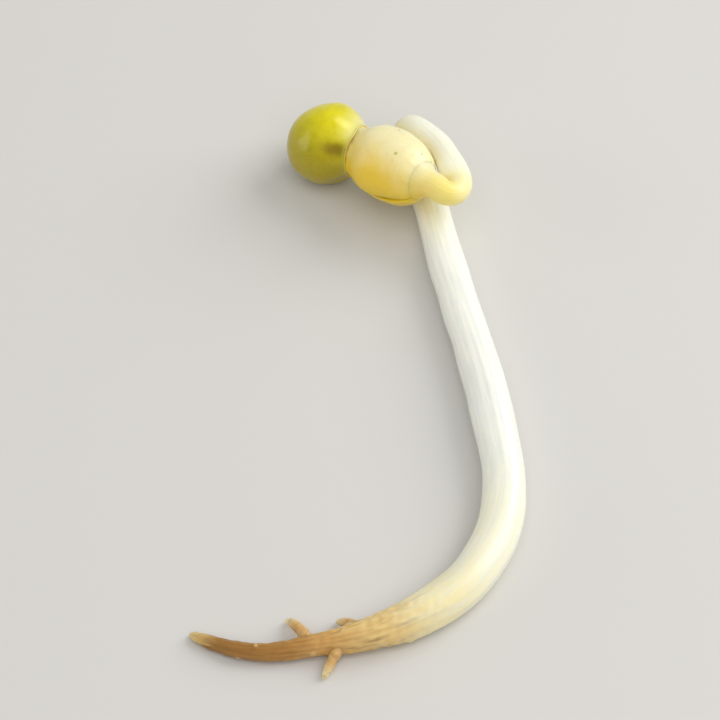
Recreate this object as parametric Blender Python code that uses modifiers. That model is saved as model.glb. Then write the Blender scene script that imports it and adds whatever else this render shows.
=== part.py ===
"""One mung bean sprout lying on a flat surface.

Metres, +Z up, the surface at z = 0. The stem runs away from the viewer along +Y, curls into a ring at its
neck and carries two seed leaves, which point to the left, with the split seed coat still on their ends.
Sizes below are in millimetres. Places on the head are given in its own frame: s along the seed leaves from
the neck to their free ends, w across the slit towards its open edge, n through the upper seed leaf.
"""

import math
import random
from functools import partial

import bmesh
import bpy
from mathutils import Matrix, Vector

MM = 0.001
OBJECT_NAME = "mung_bean_sprout"
GAP = 0.3

# The head's axis: its heading in plan from +X, how steeply it falls towards the coat, and the roll that turns
# the slit's open edge up from level.
HEAD_HEADING = math.radians(141)
HEAD_SLOPE = math.radians(15)
HEAD_ROLL = math.radians(-22)

# Seed leaves
LEAF_LENGTH = 8.1
LEAF_RADIUS = 2.15
LEAF_TAPER = 0.22
LEAF_FULLNESS = 0.64
WAIST_AT = 4.75
WAIST_WIDTH = 1.1
WAIST_DEPTH = 0.28
BEAN_BEND = 0.28
LOBE_CENTRE = 0.17
LIP_ROUNDNESS = 0.45
THINNEST_LEAF = 0.4
LEAF_SIDES = 28
LEAF_RINGS = 22

# The first leaves, folded in a hollow between the seed leaves
PLUMULE_START = 1.25
PLUMULE_LENGTH = 2.5
PLUMULE_HALF_WIDTH = 0.85
PLUMULE_HALF_THICKNESS = 0.3
PLUMULE_ACROSS = 0.6
PLUMULE_TAPER = 0.35
PLUMULE_FOLD = 0.3
PLUMULE_FOLD_WIDTH = 0.35
PLUMULE_SIDES = 16
PLUMULE_RINGS = 12
HOLLOW_DEPTH = 0.44
HOLLOW_HALF_LENGTH = 1.4
HOLLOW_HALF_WIDTH = 1.15

# Seed coat
COAT_AT = 6.6
COAT_RADIUS = 2.3
COAT_HALF_LENGTH = 2.35
COAT_FULLNESS = 0.75
COAT_THICKNESS = 0.22
COAT_RIM = 4.9
MOUTH_GAP = 0.3
MOUTH_FROM = 0.62
SPLIT_DEPTH = 0.35
SPLIT_HALF_ANGLE = 0.22
SPLIT_AT = -0.5
LIP_FLARE = 0.05
FLARE_FROM = 0.75
RIM_WAVES = ((1, 0.35, -2.3), (2, 0.06, 0.6), (5, 0.05, 2.0))
COAT_SIDES = 36
COAT_RINGS = 10

# Stem: how far the seed leaves stand off the neck's last mark, its end's radius, and how finely it is made
NECK_RUN = 0.77
NODE_RADIUS = 0.66
TUBE_SIDES = 16
ROUTE_STEP = 0.5

# Side roots: their rise, lean and reach past the root's skin, and the root's radii where they grow
SIDE_ROOTS = 3
SIDE_ROOT_SIDES = 8
SIDE_ROOT_SEED = 7
SIDE_ROOT_TAPER = ((0.0, 0.33), (0.4, 0.29), (0.75, 0.23), (1.0, 0.11))
SIDE_ROOT_BEND = 0.5
SIDE_ROOT_RISE = (0.1, 0.4)
SIDE_ROOT_LEAN = (0.2, 0.6)
SIDE_ROOT_REACH = (0.8, 1.7)
UPPER_ROOT_RADIUS = (0.5, 0.85)

# The surface presses the lying stem flat by this share of its radius. The coat's middle is this high, so its
# underside is pressed flat too.
STEM_SINK = 0.09
COAT_HEIGHT = 2.2


def smoothstep(value):
    """0 below 0, 1 above 1 and a smooth rise between."""
    value = min(max(value, 0.0), 1.0)
    return value * value * (3 - 2 * value)


def bell(offset, width):
    """1 at no offset, falling smoothly to nothing a few widths away."""
    return math.exp(-((offset / width) ** 2))


def head_axis():
    """Direction of the seed leaves, from the neck towards the coat."""
    level = math.cos(HEAD_SLOPE)
    return Vector((level * math.cos(HEAD_HEADING), level * math.sin(HEAD_HEADING), -math.sin(HEAD_SLOPE)))


def head_base():
    """Where the seed leaves meet the neck, at the height that sets the coat's middle at its own height."""
    along = head_axis()
    last = neck_marks()[-1]
    base = Vector(last[:3]) + along * NECK_RUN
    base.z = COAT_HEIGHT - along.z * COAT_AT
    return base


def head_frame():
    """The head's own frame as a matrix: s, w and n axes, with its origin at the base of the seed leaves."""
    along = head_axis()
    up = (Vector((0, 0, 1)) - along * along.z).normalized()
    front = up.cross(along)
    across = front * math.cos(HEAD_ROLL) + up * math.sin(HEAD_ROLL)
    through = along.cross(across)
    axes = Matrix((along, across, through)).transposed()
    return Matrix.Translation(head_base() * MM) @ axes.to_4x4()


def bean_bend(s):
    """How far the bean's middle line bows away from the slit's open edge."""
    return -BEAN_BEND * (1 - (2 * s / LEAF_LENGTH - 1) ** 2)


def leaf_place(polar):
    """Place along s of a ring of the seed leaves, closer together towards both ends."""
    return LEAF_LENGTH * (1 - math.cos(polar)) / 2


def leaf_radius(s):
    """Radius of the pair of seed leaves: full near the neck, drawn in at the coat's rim, fuller inside it."""
    share = s / LEAF_LENGTH
    rounding = (4 * share * (1 - share)) ** (LEAF_FULLNESS / 2)
    narrowing = WAIST_DEPTH * bell(s - WAIST_AT, WAIST_WIDTH) + LEAF_TAPER * smoothstep(share)
    return LEAF_RADIUS * rounding * (1 - narrowing)


def hollow_depth(s, w):
    """Depth of the hollow that a seed leaf's inner face has round the first leaves."""
    along = (s - PLUMULE_START - PLUMULE_LENGTH / 2) / HOLLOW_HALF_LENGTH
    across = (w - PLUMULE_ACROSS) / HOLLOW_HALF_WIDTH
    return HOLLOW_DEPTH * bell(along, 1.0) * bell(across, 1.0)


def seed_leaf_point(side, polar, around):
    """One lobe: round outside, rolled over at the slit's edges, and nearly flat inside with a hollow."""
    s = leaf_place(polar)
    radius = leaf_radius(s)
    w = radius * math.cos(around)
    turn = math.sin(around)
    inner = GAP / 2 + min(hollow_depth(s, w), (1 - THINNEST_LEAF) * radius)
    centre = max(LOBE_CENTRE * radius, inner)
    if turn >= 0:
        n = centre + max(radius - centre, 0.0) * turn
    else:
        n = centre - (centre - inner) * abs(turn) ** LIP_ROUNDNESS
    return Vector((s, w + bean_bend(s), side * n))


def plumule_point(polar, around):
    """A small closed leaf pair: pointed at its tip, with a fold along its edge."""
    s = PLUMULE_START + PLUMULE_LENGTH * (1 - math.cos(polar)) / 2
    taper = math.sin(polar) * (1 - PLUMULE_TAPER * (1 - math.cos(polar)) / 2)
    across = math.cos(around)
    fold = 1 - PLUMULE_FOLD * bell(across - 1.0, PLUMULE_FOLD_WIDTH)
    w = PLUMULE_ACROSS + PLUMULE_HALF_WIDTH * taper * across
    n = PLUMULE_HALF_THICKNESS * taper * math.sin(around) * fold
    return Vector((s, w + bean_bend(s), n))


def coat_rim(around):
    """Where the torn edge lies along s: a little uneven, with one short split near the slit's open edge."""
    uneven = sum(height * math.sin(waves * around + start) for waves, height, start in RIM_WAVES)
    turn = math.remainder(around - SPLIT_AT, 2 * math.pi)
    return COAT_RIM + uneven + SPLIT_DEPTH * bell(turn, SPLIT_HALF_ANGLE)


def coat_point(half_polar, around):
    """The coat's outer surface: a ball that draws in at its torn edge to lie close round the seed leaves, and
    whose lip stands out a little."""
    reach = (coat_rim(around) - COAT_AT) / COAT_HALF_LENGTH
    share = half_polar / (math.pi / 2)
    polar = share * math.acos(reach)
    s = COAT_AT + COAT_HALF_LENGTH * math.cos(polar)
    radius = COAT_RADIUS * math.sin(polar) ** COAT_FULLNESS
    if share > MOUTH_FROM:
        round_leaves = leaf_radius(s) + MOUTH_GAP + COAT_THICKNESS
        radius += (round_leaves - radius) * smoothstep((share - MOUTH_FROM) / (1 - MOUTH_FROM))
    radius += LIP_FLARE * smoothstep((share - FLARE_FROM) / (1 - FLARE_FROM))
    w = radius * math.cos(around)
    n = radius * math.sin(around)
    return Vector((s, w + bean_bend(s), n))


def sphere_mesh(name, sides, rings, rule, keep_half=False):
    """A UV sphere whose points are moved by the rule from their polar angle and angle around."""
    shape = bmesh.new()
    bmesh.ops.create_uvsphere(shape, u_segments=sides, v_segments=rings, radius=1.0)
    if keep_half:
        below = [vert for vert in shape.verts if vert.co.z < -1e-5]
        bmesh.ops.delete(shape, geom=below, context="VERTS")
    for vert in shape.verts:
        polar = math.acos(min(max(vert.co.z, -1.0), 1.0))
        around = math.atan2(vert.co.y, vert.co.x)
        vert.co = rule(polar, around) * MM
    if not keep_half and shape.calc_volume(signed=True) < 0:
        bmesh.ops.reverse_faces(shape, faces=shape.faces)
    mesh = bpy.data.meshes.new(name)
    shape.to_mesh(mesh)
    shape.free()
    return mesh


def rest_on_surface(mesh, matrix):
    """Presses what would be below the surface flat, as soft tissue lies."""
    back = matrix.inverted()
    for vert in mesh.vertices:
        place = matrix @ vert.co
        if place.z < 0:
            place.z = 0.0
            vert.co = back @ place


def material(name, colour, roughness):
    """A Principled material with a plain colour."""
    made = bpy.data.materials.new(name)
    made.use_nodes = True
    shader = made.node_tree.nodes["Principled BSDF"]
    shader.inputs["Base Color"].default_value = (*colour, 1.0)
    shader.inputs["Roughness"].default_value = roughness
    shader.inputs["Metallic"].default_value = 0.0
    made.diffuse_color = (*colour, 1.0)
    return made


def add_object(mesh, name, collection, parent, matrix, finish):
    """Puts the mesh in the scene as one named piece, shaded smooth."""
    mesh.name = name
    for face in mesh.polygons:
        face.use_smooth = True
    mesh.materials.clear()
    mesh.materials.append(finish)
    piece = bpy.data.objects.new(name, mesh)
    collection.objects.link(piece)
    piece.parent = parent
    piece.matrix_local = matrix
    return piece


def lying_marks():
    """The root and stem along the surface, from the root's tip, as x, y, height and radius."""
    plan = (
        (-12.5, -28.3, 0.16),
        (-11.8, -28.7, 0.3),
        (-10.3, -29.3, 0.4),
        (-8.5, -29.5, 0.46),
        (-6.6, -29.2, 0.55),
        (-4.7, -28.9, 0.7),
        (-2.7, -28.3, 0.9),
        (-0.6, -27.2, 1.03),
        (1.3, -25.4, 1.08),
        (2.6, -22.8, 1.1),
        (3.0, -19.8, 1.1),
        (2.65, -16.5, 1.09),
        (2.0, -12.7, 1.07),
        (1.1, -8.8, 1.05),
        (0.25, -4.9, 1.0),
        (-0.33, -1.8, 0.93),
    )
    return [(x, y, radius * (1 - STEM_SINK), radius) for x, y, radius in plan]


def neck_marks():
    """The neck: under the seed leaves, round behind them and back over the stem to their base."""
    return [
        (-0.72, -0.2, 0.77, 0.86),
        (-1.08, 0.85, 0.77, 0.82),
        (-1.38, 1.72, 0.85, 0.79),
        (-1.6, 2.4, 1.13, 0.77),
        (-1.68, 2.82, 1.78, 0.75),
        (-1.48, 2.68, 2.48, 0.73),
        (-1.02, 2.08, 2.94, 0.72),
        (-0.42, 1.34, 3.2, 0.7),
        (0.14, 0.56, 3.44, 0.68),
        (0.58, -0.38, 3.66, 0.65),
        (0.95, -1.22, 3.72, 0.63),
        (1.15, -2.08, 3.72, 0.62),
        (1.03, -2.75, 3.76, 0.61),
        (0.68, -3.13, 3.86, 0.61),
        (0.22, -3.17, 3.98, 0.62),
        (-0.19, -2.88, 4.06, 0.64),
    ]


def neck_end():
    """The last point of the neck, where it meets the base of the seed leaves."""
    place = head_base() - head_axis() * GAP
    return [(*place, NODE_RADIUS)]


def catmull_rom(before, start, end, after, share):
    """One point of the smooth curve from start to end."""
    point = []
    for a, b, c, d in zip(before, start, end, after):
        linear = (c - a) * share
        square = (2 * a - 5 * b + 4 * c - d) * share**2
        cube = (3 * b - a - 3 * c + d) * share**3
        point.append(0.5 * (2 * b + linear + square + cube))
    return point


def stem_route():
    """The stem's middle line with its radius, as points close enough for a smooth tube."""
    marks = lying_marks() + neck_marks() + neck_end()
    route = []
    for index in range(len(marks) - 1):
        before = marks[max(index - 1, 0)]
        after = marks[min(index + 2, len(marks) - 1)]
        span = (Vector(marks[index + 1][:3]) - Vector(marks[index][:3])).length
        steps = max(1, math.ceil(span / ROUTE_STEP))
        for step in range(steps):
            share = step / steps
            route.append(catmull_rom(before, marks[index], marks[index + 1], after, share))
    route.append(list(marks[-1]))
    return route


def tube_mesh(name, route, sides):
    """A closed tube along the route, made by a bevelled curve with filled caps."""
    curve = bpy.data.curves.new(name, "CURVE")
    curve.dimensions = "3D"
    curve.twist_mode = "MINIMUM"
    curve.bevel_depth = MM
    curve.bevel_resolution = (sides - 4) // 2
    curve.use_fill_caps = True
    spline = curve.splines.new("POLY")
    spline.points.add(len(route) - 1)
    for point, (x, y, z, radius) in zip(spline.points, route):
        point.co = (x * MM, y * MM, z * MM, 1.0)
        point.radius = radius
    holder = bpy.data.objects.new(name, curve)
    bpy.context.scene.collection.objects.link(holder)
    bpy.context.view_layer.update()
    graph = bpy.context.evaluated_depsgraph_get()
    mesh = bpy.data.meshes.new_from_object(holder.evaluated_get(graph))
    bpy.data.objects.remove(holder)
    bpy.data.curves.remove(curve)
    shape = bmesh.new()
    shape.from_mesh(mesh)
    bmesh.ops.remove_doubles(shape, verts=shape.verts, dist=0.001 * MM)
    if shape.calc_volume(signed=True) < 0:
        bmesh.ops.reverse_faces(shape, faces=shape.faces)
    shape.to_mesh(mesh)
    shape.free()
    return mesh


def side_root_routes(route):
    """Short side roots, each from inside the upper root outwards, bending down and towards the root's tip."""
    draw = random.Random(SIDE_ROOT_SEED)
    thinnest, thickest = UPPER_ROOT_RADIUS
    root = range(len(route) // 2)
    thin = [index for index in root if thinnest < route[index][3] < thickest]
    routes = []
    for number in range(SIDE_ROOTS):
        place = thin[int((number + 0.5) * len(thin) / SIDE_ROOTS)]
        here = Vector(route[place][:3])
        onward = (Vector(route[place + 1][:3]) - here).normalized()
        side = onward.cross(Vector((0, 0, 1))) * (1 if number % 2 else -1)
        rise = Vector((0, 0, draw.uniform(*SIDE_ROOT_RISE)))
        lean = side + rise - onward * draw.uniform(*SIDE_ROOT_LEAN)
        lean.normalize()
        length = route[place][3] + draw.uniform(*SIDE_ROOT_REACH)
        points = []
        for share, radius in SIDE_ROOT_TAPER:
            spot = here + lean * length * share - onward * SIDE_ROOT_BEND * share**2
            spot.z -= (spot.z - radius) * share**2
            points.append((*spot, radius))
        routes.append(points)
    return routes


def join_to(piece, meshes, cutters):
    """Joins closed meshes to the piece with one Boolean union, then removes them."""
    group = bpy.data.collections.new("side_roots")
    cutters.children.link(group)
    for number, mesh in enumerate(meshes):
        helper = bpy.data.objects.new(f"side_root_{number + 1}", mesh)
        helper.hide_render = True
        helper.display_type = "WIRE"
        group.objects.link(helper)
    union = piece.modifiers.new("side roots", "BOOLEAN")
    union.operation = "UNION"
    union.operand_type = "COLLECTION"
    union.collection = group
    union.solver = "EXACT"
    bpy.context.view_layer.update()
    graph = bpy.context.evaluated_depsgraph_get()
    joined = bpy.data.meshes.new_from_object(piece.evaluated_get(graph))
    piece.modifiers.remove(union)
    old = piece.data
    piece.data = joined
    joined.name = piece.name
    bpy.data.meshes.remove(old)
    for helper in list(group.objects):
        bpy.data.objects.remove(helper)
    bpy.data.collections.remove(group)


def add_stem(collection, cutters, parent):
    """Stem, hook and root as one grown piece."""
    finish = material("stem", (0.86, 0.85, 0.76), 0.35)
    route = stem_route()
    mesh = tube_mesh("stem", route, TUBE_SIDES)
    rest_on_surface(mesh, Matrix.Identity(4))
    stem = add_object(mesh, "stem", collection, parent, Matrix.Identity(4), finish)
    side_roots = []
    for number, points in enumerate(side_root_routes(route)):
        side_roots.append(tube_mesh(f"side_root_{number + 1}", points, SIDE_ROOT_SIDES))
    join_to(stem, side_roots, cutters)
    return stem


def add_seed_leaves(collection, parent):
    """The two seed leaves, mirror images about the slit."""
    finish = material("cotyledon", (0.86, 0.72, 0.33), 0.4)
    frame = head_frame()
    for name, side in (("cotyledon_upper", 1), ("cotyledon_lower", -1)):
        mesh = sphere_mesh(name, LEAF_SIDES, LEAF_RINGS, partial(seed_leaf_point, side))
        add_object(mesh, name, collection, parent, frame, finish)


def add_plumule(collection, parent):
    finish = material("plumule", (0.74, 0.68, 0.2), 0.45)
    mesh = sphere_mesh("plumule", PLUMULE_SIDES, PLUMULE_RINGS, plumule_point)
    add_object(mesh, "plumule", collection, parent, head_frame(), finish)


def add_seed_coat(collection, parent):
    finish = material("seed_coat", (0.3, 0.29, 0.02), 0.25)
    frame = head_frame()
    mesh = sphere_mesh("seed_coat", COAT_SIDES, 2 * COAT_RINGS, coat_point, keep_half=True)
    rest_on_surface(mesh, frame)
    coat = add_object(mesh, "seed_coat", collection, parent, frame, finish)
    skin = coat.modifiers.new("skin", "SOLIDIFY")
    skin.thickness = COAT_THICKNESS * MM
    skin.offset = -1.0


def centre_on_origin(holder, pieces):
    """Moves the holder so that the pieces' box stands on the surface with its middle over the origin."""
    bpy.context.view_layer.update()
    corners = [piece.matrix_world @ vert.co for piece in pieces for vert in piece.data.vertices]
    for axis in (0, 1):
        values = [corner[axis] for corner in corners]
        holder.location[axis] -= (min(values) + max(values)) / 2


def main():
    for item in list(bpy.data.objects):
        bpy.data.objects.remove(item)
    collection = bpy.data.collections.new(OBJECT_NAME)
    bpy.context.scene.collection.children.link(collection)
    cutters = bpy.data.collections.new("cutters")
    cutters.hide_render = True
    bpy.context.scene.collection.children.link(cutters)
    holder = bpy.data.objects.new("sprout_place", None)
    collection.objects.link(holder)
    add_stem(collection, cutters, holder)
    add_seed_leaves(collection, holder)
    add_plumule(collection, holder)
    add_seed_coat(collection, holder)
    centre_on_origin(holder, list(holder.children))


main()
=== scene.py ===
# %% [markdown]
# # A mung bean sprout, dressed for a close look
#
# The solids that load below have the right places and sizes, but a sprout is soft tissue: a wet white stem,
# waxy yellow seed leaves, a thin glossy skin. Each solid that shows is replaced by a finer surface worked out
# from the same few sizes. Every surface here is a formula on a grid of two parameters, so its fineness is one
# number and its details can follow the plant: along the stem, across the slit, round the torn rim.

# %% Load the solids and keep their box
import math
import random

import bpy
import numpy as np
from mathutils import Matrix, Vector


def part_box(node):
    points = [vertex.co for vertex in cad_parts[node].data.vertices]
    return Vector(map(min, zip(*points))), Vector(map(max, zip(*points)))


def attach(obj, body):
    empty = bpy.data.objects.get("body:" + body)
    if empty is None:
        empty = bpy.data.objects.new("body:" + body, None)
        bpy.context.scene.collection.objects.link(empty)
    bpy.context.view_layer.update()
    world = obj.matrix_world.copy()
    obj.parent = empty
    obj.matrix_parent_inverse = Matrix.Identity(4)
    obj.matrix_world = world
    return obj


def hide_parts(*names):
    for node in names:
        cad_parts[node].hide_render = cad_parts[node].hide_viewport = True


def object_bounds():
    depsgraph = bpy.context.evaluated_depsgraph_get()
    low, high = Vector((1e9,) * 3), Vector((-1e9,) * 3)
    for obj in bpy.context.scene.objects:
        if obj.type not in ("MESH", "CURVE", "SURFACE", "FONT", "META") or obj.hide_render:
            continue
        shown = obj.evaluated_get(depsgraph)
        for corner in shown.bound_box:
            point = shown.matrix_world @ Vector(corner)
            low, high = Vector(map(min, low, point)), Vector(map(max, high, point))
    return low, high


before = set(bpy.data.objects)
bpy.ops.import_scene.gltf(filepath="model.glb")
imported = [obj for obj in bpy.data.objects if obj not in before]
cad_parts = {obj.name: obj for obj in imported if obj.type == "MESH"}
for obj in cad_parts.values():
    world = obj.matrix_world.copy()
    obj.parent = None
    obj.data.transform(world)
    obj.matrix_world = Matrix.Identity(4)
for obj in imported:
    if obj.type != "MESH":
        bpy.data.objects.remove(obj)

MM = 0.001
SOLID_LOW, SOLID_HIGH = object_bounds()
print("solids:", ", ".join(sorted(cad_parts)))
print("their box in mm:", [round(side / MM, 2) for side in SOLID_HIGH - SOLID_LOW])

# %% [markdown]
# ## Curves that everything is built from
#
# Growth has few straight lines and no sharp steps. Two small functions give nearly all the shapes below: a
# smooth step from 0 to 1, and a bell that is 1 in one place and fades away from it. A third adds soft lumps:
# a few sine waves in random directions, which is cheaper than a noise texture and works on whole arrays.


# %% Smooth step, bell and lumps
def smoothstep(value):
    """0 below 0, 1 above 1, and 3v^2 - 2v^3 between."""
    value = np.clip(value, 0.0, 1.0)
    return value * value * (3 - 2 * value)


def bell(offset, width):
    """e to the power of minus the square of offset over width."""
    return np.exp(-((offset / width) ** 2))


def lumps(points, size, seed):
    """Soft unevenness of about one unit: the sum of twelve sine waves about `size` millimetres long, in
    random directions and phases, over the square root of six."""
    draw = np.random.default_rng(seed)
    directions = draw.normal(size=(12, 3))
    directions /= np.linalg.norm(directions, axis=1, keepdims=True)
    turns = 2 * np.pi / (size * draw.uniform(0.7, 1.4, (12, 1)))
    phases = draw.uniform(0, 2 * np.pi, 12)
    return np.sin(points @ (directions * turns).T + phases).sum(axis=-1) / math.sqrt(6)


print("lumps spread:", round(float(lumps(np.random.default_rng(1).uniform(0, 9, (999, 3)), 2.0, 3).std()), 2))

# %% [markdown]
# ## From a grid of points to a closed skin
#
# A sprout's pieces are all closed bodies with a beginning and an end, like a sausage or a cup. So one helper
# is enough: rings of points from one pole to the other. Values that the materials need, such as the distance
# along the stem, are stored on the same points as attributes, so that colour follows the surface exactly.


# %% Mesh helper
def closed_skin(name, points, **attributes):
    """A closed mesh from an array of rings of points, in millimetres.

    The first and last ring are one point each, the poles. Rings are joined by four-sided faces and the poles
    by fans of triangles. The volume is the sum of a . (b x c) / 6 over the triangles a, b, c; where it comes
    out negative the faces are turned round, so that they always face outwards.
    """
    rings, sides = points.shape[:2]

    def listed(values):
        return np.concatenate([values[:1, 0], values[1:-1].reshape(-1, *values.shape[2:]), values[-1:, 0]])

    here = 1 + np.arange((rings - 2) * sides).reshape(rings - 2, sides)
    beside = np.roll(here, -1, axis=1)
    end = np.full(sides, (rings - 2) * sides + 1)
    quads = np.stack([here[:-1], beside[:-1], beside[1:], here[1:]], axis=-1).reshape(-1, 4)
    fans = np.concatenate([
        np.stack([0 * end, beside[0], here[0]], axis=-1),
        np.stack([end, here[-1], beside[-1]], axis=-1),
    ])
    spots = listed(points)
    triangles = np.concatenate([quads[:, :3], quads[:, [0, 2, 3]], fans])
    a, b, c = (spots[triangles[:, corner]] for corner in range(3))
    volume = (a * np.cross(b, c)).sum() / 6
    if volume < 0:
        quads = quads[:, ::-1]
        fans = fans[:, ::-1]
    mesh = bpy.data.meshes.new(name)
    mesh.from_pydata(spots * MM, [], quads.tolist() + fans.tolist())
    for key, values in attributes.items():
        kind, field = ("FLOAT", "value") if values.ndim == 2 else ("FLOAT_VECTOR", "vector")
        layer = mesh.attributes.new(key, kind, "POINT")
        layer.data.foreach_set(field, listed(values).astype(np.float32).ravel())
    mesh.shade_smooth()
    print(f"{name}: {len(triangles)} triangles, {abs(volume):.1f} cubic mm")
    return mesh


def add_piece(mesh, finish, slot, *nodes):
    """Puts a finished mesh in the scene as a piece that stands for the named solids."""
    piece = bpy.data.objects.new(mesh.name, mesh)
    bpy.context.scene.collection.objects.link(piece)
    mesh.materials.append(finish)
    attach(piece, "root")
    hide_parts(*nodes)
    return piece


# %% [markdown]
# ## Shader maths as plain expressions
#
# Colour on a plant is made of masks: how far from the root, how near the torn edge, inside or outside. Such
# masks read best as arithmetic. A small class wraps a shader socket, so that 1 - mask * 0.5 adds the Math
# nodes by itself, and one method makes every other kind of node.


# %% Socket wrapper
class Value:
    """A shader socket that +, -, * and / work on."""

    def __init__(self, finish, socket):
        self.finish = finish
        self.socket = socket

    def __add__(self, other):
        return self.finish.maths("ADD", self, other)

    def __sub__(self, other):
        return self.finish.maths("SUBTRACT", self, other)

    def __rsub__(self, other):
        return self.finish.maths("SUBTRACT", other, self)

    def __mul__(self, other):
        return self.finish.maths("MULTIPLY", self, other)

    def __truediv__(self, other):
        return self.finish.maths("DIVIDE", self, other)

    __radd__ = __add__
    __rmul__ = __mul__


# %% Material builder
class Finish:
    """A Principled material: constants are set on its shader, and nodes feed what varies."""

    def __init__(self, name, **constants):
        self.material = bpy.data.materials.new(name)
        self.material.use_nodes = True
        self.shader = self.material.node_tree.nodes["Principled BSDF"]
        for key, value in constants.items():
            self.shader.inputs[key.replace("_", " ")].default_value = value

    def put(self, socket, value):
        """A link where the value is a socket, and a setting where it is a number or a colour."""
        if isinstance(value, Value):
            self.material.node_tree.links.new(value.socket, socket)
        elif socket.type == "RGBA":
            socket.default_value = (*value, 1.0)
        else:
            socket.default_value = value

    def node(self, kind, settings=None, inputs=None, output=0):
        """Any node: its type, its settings (a ramp's stops among them), and its inputs by name or number."""
        made = self.material.node_tree.nodes.new(kind)
        for key, value in (settings or {}).items():
            if key == "stops":
                ramp = made.color_ramp
                ramp.interpolation = "EASE"
                while len(ramp.elements) < len(value):
                    ramp.elements.new(1.0)
                for element, (place, colour) in zip(ramp.elements, value):
                    element.position = place
                    element.color = (*colour, 1.0)
            else:
                setattr(made, key, value)
        for key, value in (inputs or {}).items():
            self.put(made.inputs[key], value)
        return Value(self, made.outputs[output])

    def maths(self, operation, first, second):
        return self.node("ShaderNodeMath", {"operation": operation}, {0: first, 1: second})

    def clamped(self, value, low, high):
        """0 where value is at low or less, 1 at high or more, smooth between."""
        settings = {"interpolation_type": "SMOOTHSTEP"}
        return self.node("ShaderNodeMapRange", settings, {"Value": value, "From Min": low, "From Max": high})

    def mix(self, share, first, second):
        """The first colour where share is 0 and the second where it is 1."""
        return self.node("ShaderNodeMix", {"data_type": "RGBA"}, {0: share, 6: first, 7: second}, output=2)

    def attribute(self, name, output="Fac"):
        return self.node("ShaderNodeAttribute", {"attribute_name": name}, output=output)

    def noise(self, where, scale, detail=2.0, roughness=0.5):
        inputs = {"Vector": where, "Scale": scale, "Detail": detail, "Roughness": roughness}
        return self.node("ShaderNodeTexNoise", None, inputs)

    def cells(self, where, scale, output="Distance"):
        return self.node("ShaderNodeTexVoronoi", None, {"Vector": where, "Scale": scale}, output)

    def stretched(self, where, factors):
        return self.node("ShaderNodeVectorMath", {"operation": "MULTIPLY"}, {0: where, 1: factors})

    def surface(self, colour, roughness, height, depth):
        """Feeds the shader: colour, roughness, and a relief of this depth in millimetres."""
        self.put(self.shader.inputs["Base Color"], colour)
        self.put(self.shader.inputs["Roughness"], roughness)
        inputs = {"Height": height, "Strength": 1.0, "Distance": depth * MM}
        self.put(self.shader.inputs["Normal"], self.node("ShaderNodeBump", None, inputs))
        return self.material


# %% [markdown]
# ## The stem's route
#
# The stem, the curled neck and the root grew as one: a tube whose middle line lies on the surface, rises,
# turns back over itself and ends at the seed leaves. A smooth curve through a short list of marks is the
# natural way to hold such a shape. The marks are the solid's own, so both follow the same line. Only beside
# the seed leaves does the fine line move a little way over, because on the real plant the curl leans on them.

# %% Marks from the root's tip to the neck, in millimetres
STEM_SINK = 0.09
NECK_RUN = 0.77
COAT_HEIGHT = 2.2
COAT_AT = 6.6
COAT_RIM = 4.9
HEAD_HEADING = math.radians(141)
HEAD_SLOPE = math.radians(15)
HEAD_ROLL = math.radians(-22)

LYING_MARKS = (
    (-12.5, -28.3, 0.16),
    (-11.8, -28.7, 0.3),
    (-10.3, -29.3, 0.4),
    (-8.5, -29.5, 0.46),
    (-6.6, -29.2, 0.55),
    (-4.7, -28.9, 0.7),
    (-2.7, -28.3, 0.9),
    (-0.6, -27.2, 1.03),
    (1.3, -25.4, 1.08),
    (2.6, -22.8, 1.1),
    (3.0, -19.8, 1.1),
    (2.65, -16.5, 1.09),
    (2.0, -12.7, 1.07),
    (1.1, -8.8, 1.05),
    (0.25, -4.9, 1.0),
    (-0.33, -1.8, 0.93),
)
NECK_MARKS = (
    (-0.72, -0.2, 0.77, 0.86),
    (-1.08, 0.85, 0.77, 0.82),
    (-1.38, 1.72, 0.85, 0.79),
    (-1.6, 2.4, 1.13, 0.77),
    (-1.68, 2.82, 1.78, 0.75),
    (-1.48, 2.68, 2.48, 0.73),
    (-1.02, 2.08, 2.94, 0.72),
    (-0.42, 1.34, 3.2, 0.7),
    (0.14, 0.56, 3.44, 0.68),
    (0.58, -0.38, 3.66, 0.65),
    (0.95, -1.22, 3.72, 0.63),
    (1.15, -2.08, 3.72, 0.62),
    (1.03, -2.75, 3.76, 0.61),
    (0.68, -3.13, 3.86, 0.61),
    (0.22, -3.17, 3.98, 0.62),
    (-0.19, -2.88, 4.06, 0.64),
)


# %% The head's own axes: s along the seed leaves, w across the slit, n through the upper leaf
def head_axes():
    """s falls at the head's slope along its heading; w is level and s's right angle, rolled up; n = s x w."""
    level = math.cos(HEAD_SLOPE)
    along = np.array([level * math.cos(HEAD_HEADING), level * math.sin(HEAD_HEADING), -math.sin(HEAD_SLOPE)])
    up = np.array([0.0, 0.0, 1.0]) - along * along[2]
    up /= np.linalg.norm(up)
    front = np.cross(up, along)
    across = front * math.cos(HEAD_ROLL) + up * math.sin(HEAD_ROLL)
    return np.array([along, across, np.cross(along, across)])


HEAD_AXES = head_axes()
HEAD_BASE = np.array(NECK_MARKS[-1][:3]) + HEAD_AXES[0] * NECK_RUN
HEAD_BASE[2] = COAT_HEIGHT - HEAD_AXES[0][2] * COAT_AT


def from_head(points):
    """Head coordinates s, w, n to the sprout's own x, y, z."""
    return HEAD_BASE + points @ HEAD_AXES


def to_head(points):
    """The sprout's own x, y, z to head coordinates: the axes' matrix turned over."""
    return (points - HEAD_BASE) @ HEAD_AXES.T


print("the seed leaves start at", HEAD_BASE.round(2), "and point along", HEAD_AXES[0].round(2))

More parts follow.
